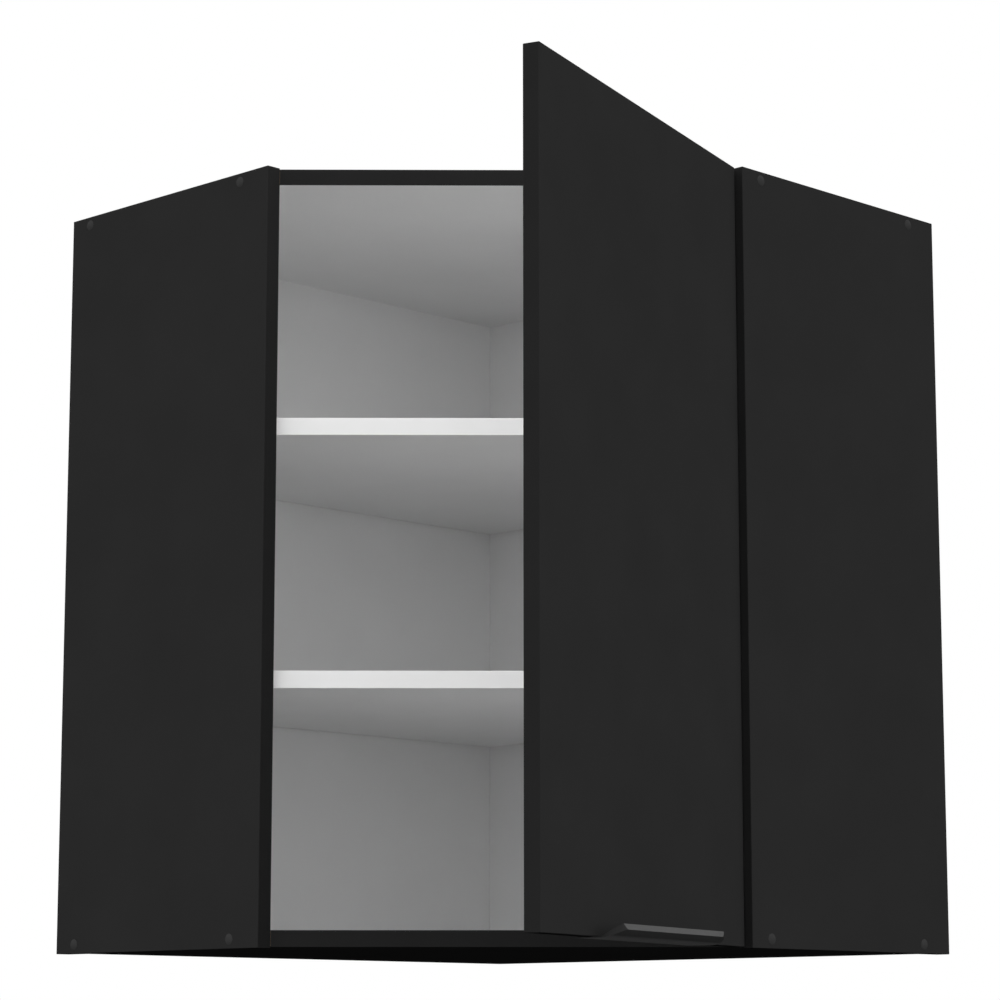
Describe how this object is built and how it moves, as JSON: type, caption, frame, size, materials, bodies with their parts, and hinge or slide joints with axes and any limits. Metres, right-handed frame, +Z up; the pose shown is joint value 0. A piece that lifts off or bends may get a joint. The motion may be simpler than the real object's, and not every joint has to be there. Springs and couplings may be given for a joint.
{
  "type": "corner wall cabinet",
  "caption": "Corner wall cabinet with a diagonal door on concealed hinges, an edge pull and adjustable shelves.",
  "frame": {"origin": "the corner of the two walls, level with the side panels' lower ends", "axes": "+Z up; -X points into the left wall and +Y into the right wall, so the cabinet lies at +X and -Y"},
  "size_m": [0.7233, 0.6942, 0.7169],
  "materials": {
    "black_board": "matte black melamine on particle board",
    "white_board": "white melamine",
    "black_metal": "matte black coated metal",
    "steel": "nickel plated",
    "cap_plastic": "fine matte",
    "white_plastic": "satin",
    "beech": "raw, turned",
    "clear_rubber": "translucent soft"
  },
  "bodies": {
    "carcass": {"side_left": "black_board", "side_right": "black_board", "top_panel": "black_board", "bottom_panel": "black_board", "back_left": "white_board", "back_right": "white_board", "screw_left_lower_rear": "steel", "cap_left_lower_rear": "cap_plastic", "screw_left_lower_front": "steel", "cap_left_lower_front": "cap_plastic", "dowel_left_lower": "beech", "screw_left_upper_rear": "steel", "cap_left_upper_rear": "cap_plastic", "screw_left_upper_front": "steel", "cap_left_upper_front": "cap_plastic", "dowel_left_upper": "beech", "screw_right_lower_rear": "steel", "cap_right_lower_rear": "cap_plastic", "screw_right_lower_front": "steel", "cap_right_lower_front": "cap_plastic", "dowel_right_lower": "beech", "screw_right_upper_rear": "steel", "cap_right_upper_rear": "cap_plastic", "screw_right_upper_front": "steel", "cap_right_upper_front": "cap_plastic", "dowel_right_upper": "beech", "pin_lower_left_rear": "steel", "pin_lower_left_front": "steel", "pin_lower_right_rear": "steel", "pin_lower_right_front": "steel", "pin_lower_back": "steel", "pin_upper_left_rear": "steel", "pin_upper_left_front": "steel", "pin_upper_right_rear": "steel", "pin_upper_right_front": "steel", "pin_upper_back": "steel", "hanger_left_housing": "white_plastic", "hanger_left_screw": "steel", "hanger_right_housing": "white_plastic", "hanger_right_screw": "steel", "hinge_lower_arm": "steel", "hinge_lower_plate": "steel", "hinge_upper_arm": "steel", "hinge_upper_plate": "steel"},
    "door_leaf": {"door": "black_board", "handle": "black_metal", "handle_screw_left": "steel", "handle_screw_right": "steel", "bumper_lower": "clear_rubber", "bumper_upper": "clear_rubber", "hinge_lower_cup": "steel", "hinge_upper_cup": "steel"},
    "lower_link": {"hinge_lower_link": "steel"},
    "upper_link": {"hinge_upper_link": "steel"},
    "lower_shelf": {"shelf_lower": "white_board"},
    "upper_shelf": {"shelf_upper": "white_board"},
    "left_hook": {"hanger_left_hook": "steel"},
    "right_hook": {"hanger_right_hook": "steel"}
  },
  "joints": [
    {"name": "door_swing", "type": "hinge", "parent": "carcass", "child": "door_leaf", "pos_m": [0.58875, -0.29969, 0.358], "axis": [0, 0, 1], "range_deg": [-63.1, 31.9]},
    {"name": "lower_link_turn", "type": "hinge", "parent": "carcass", "child": "lower_link", "pos_m": [0.5812, -0.29, 0.1], "axis": [0, 0, 1], "range_deg": [-24.7, 12.5]},
    {"name": "upper_link_turn", "type": "hinge", "parent": "carcass", "child": "upper_link", "pos_m": [0.5812, -0.29, 0.616], "axis": [0, 0, 1], "range_deg": [-24.7, 12.5]},
    {"name": "lower_shelf_lift", "type": "slide", "parent": "carcass", "child": "lower_shelf", "axis": [0, 0, 1], "range_m": [0, 0.2]},
    {"name": "upper_shelf_lift", "type": "slide", "parent": "carcass", "child": "upper_shelf", "axis": [0, 0, 1], "range_m": [0, 0.1]},
    {"name": "left_hook_height", "type": "slide", "parent": "carcass", "child": "left_hook", "axis": [0, 0, 1], "range_m": [-0.005, 0.005]},
    {"name": "right_hook_height", "type": "slide", "parent": "carcass", "child": "right_hook", "axis": [0, 0, 1], "range_m": [-0.005, 0.005]}
  ],
  "couplings": [
    {"joint": "lower_link_turn", "follows": "door_swing", "ratio": 0.39},
    {"joint": "upper_link_turn", "follows": "door_swing", "ratio": 0.39}
  ]
}
